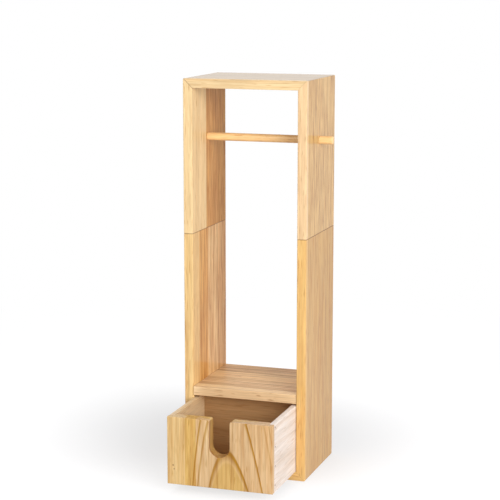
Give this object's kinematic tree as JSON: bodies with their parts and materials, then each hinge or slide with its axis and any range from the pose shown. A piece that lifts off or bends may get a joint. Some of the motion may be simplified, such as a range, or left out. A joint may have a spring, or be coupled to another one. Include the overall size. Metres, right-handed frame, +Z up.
{
  "type": "toilet roll storage holder",
  "caption": "Free-standing wooden toilet roll stand: tall mitred frame with a flat top, a removable rod for the roll in use, a shelf, and a notched drawer for spare rolls underneath.",
  "frame": {"origin": "on the floor, under the middle of the frame's footprint", "axes": "+Z up, -Y towards the front where the drawer opens, +X towards the side where the rod is pulled out"},
  "size_m": [0.21, 0.26, 0.595],
  "materials": {
    "frame_wood": "clear satin lacquer",
    "drawer_front_wood": "clear satin lacquer",
    "drawer_box_wood": "bare, sanded",
    "rod_wood": "clear satin lacquer",
    "panel_plywood": "bare, sanded",
    "joinery_wood": "bare",
    "brad_steel": "bright"
  },
  "bodies": {
    "frame": {"top_board": "frame_wood", "upper_left_side": "frame_wood", "upper_right_side": "frame_wood", "lower_left_side": "frame_wood", "lower_right_side": "frame_wood", "bottom_board": "frame_wood", "shelf": "frame_wood", "bay_back": "panel_plywood", "bay_back_brads": "brad_steel", "mitre_spline_top_left": "joinery_wood", "mitre_spline_top_right": "joinery_wood", "mitre_spline_bottom_left": "joinery_wood", "mitre_spline_bottom_right": "joinery_wood", "seam_dowels": "joinery_wood", "shelf_dowels": "joinery_wood"},
    "drawer": {"drawer_front": "drawer_front_wood", "drawer_left_side": "drawer_box_wood", "drawer_right_side": "drawer_box_wood", "drawer_back": "drawer_box_wood", "drawer_floor": "panel_plywood", "drawer_front_brads": "brad_steel", "drawer_back_brads": "brad_steel", "drawer_floor_brads": "brad_steel"},
    "rod": {"roll_rod": "rod_wood"}
  },
  "joints": [
    {"name": "drawer_slide", "type": "slide", "parent": "frame", "child": "drawer", "axis": [0, -1, 0], "range_m": [-0.112, 0.015]},
    {"name": "rod_slide", "type": "slide", "parent": "frame", "child": "rod", "axis": [1, 0, 0], "range_m": [0, 0.168]}
  ]
}
